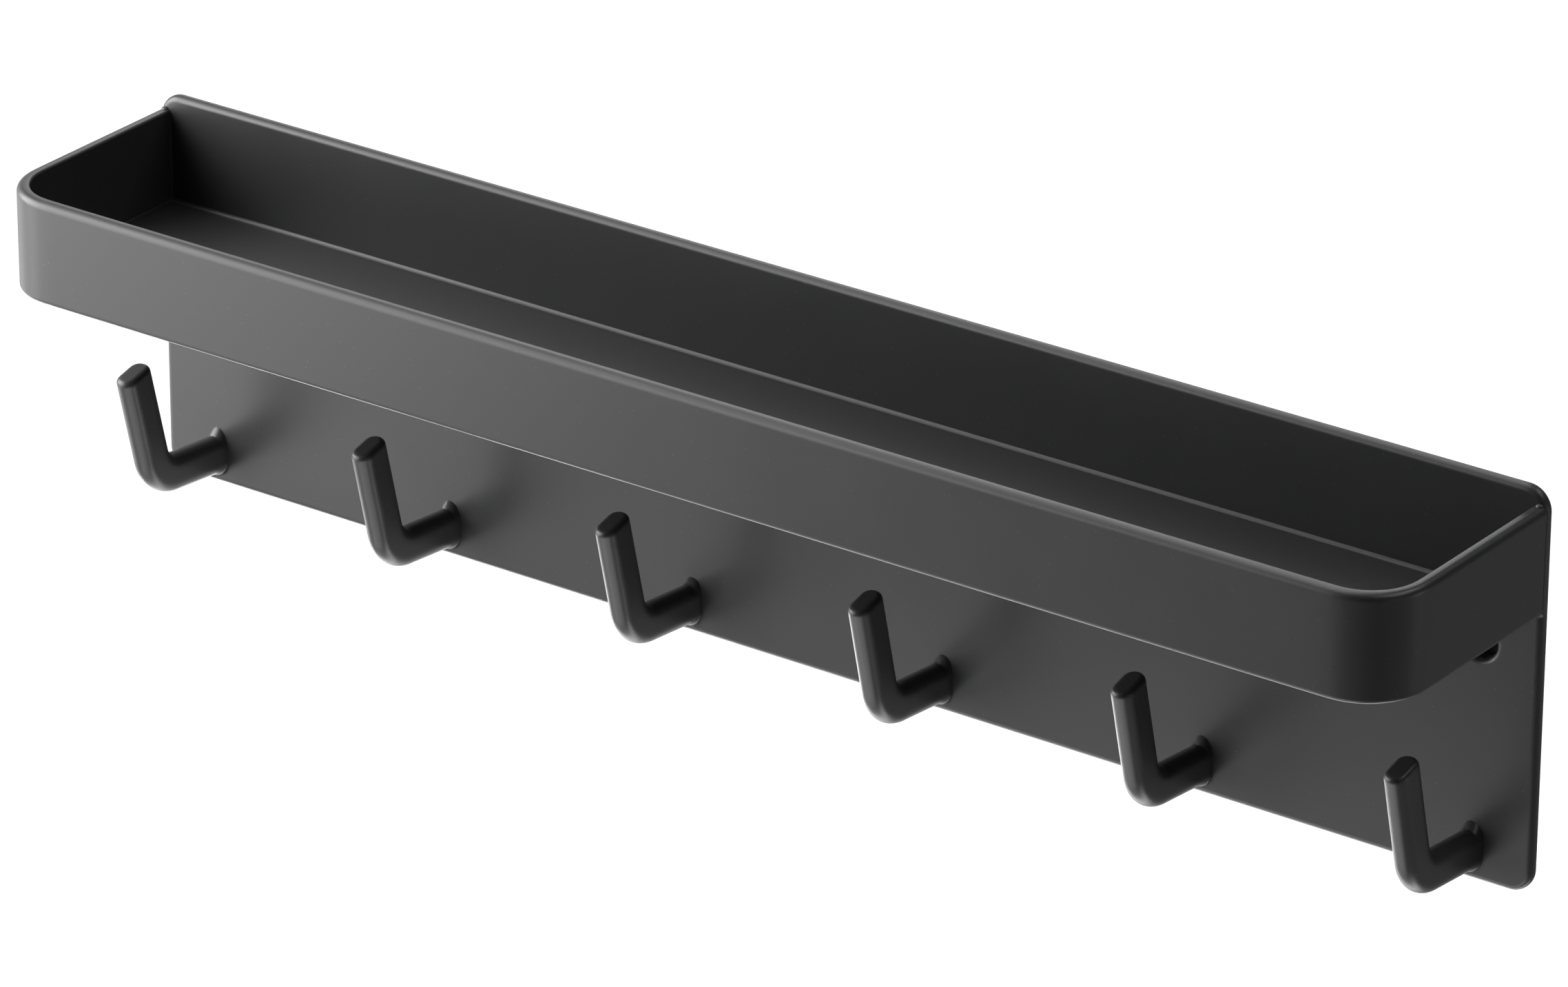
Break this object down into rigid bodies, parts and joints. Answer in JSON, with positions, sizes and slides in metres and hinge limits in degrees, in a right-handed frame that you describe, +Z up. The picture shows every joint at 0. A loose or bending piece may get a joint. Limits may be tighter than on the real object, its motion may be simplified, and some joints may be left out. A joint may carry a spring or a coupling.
{
  "type": "key rack with shelf",
  "caption": "Wall key rack of welded, matte coated steel: a flat back plate with an open tray along its top and a row of bent flat-bar hooks along its foot.",
  "frame": {"origin": "on the wall plane, midway between the two screw holes", "axes": "+X along the rack, +Z up, -Y out of the wall into the room"},
  "size_m": [0.3, 0.051, 0.076],
  "materials": {
    "coated_steel": "matte black powder coat"
  },
  "bodies": {
    "root": {"back_plate": "coated_steel", "shelf_band": "coated_steel", "shelf_floor": "coated_steel", "hooks": "coated_steel"}
  },
  "joints": []
}
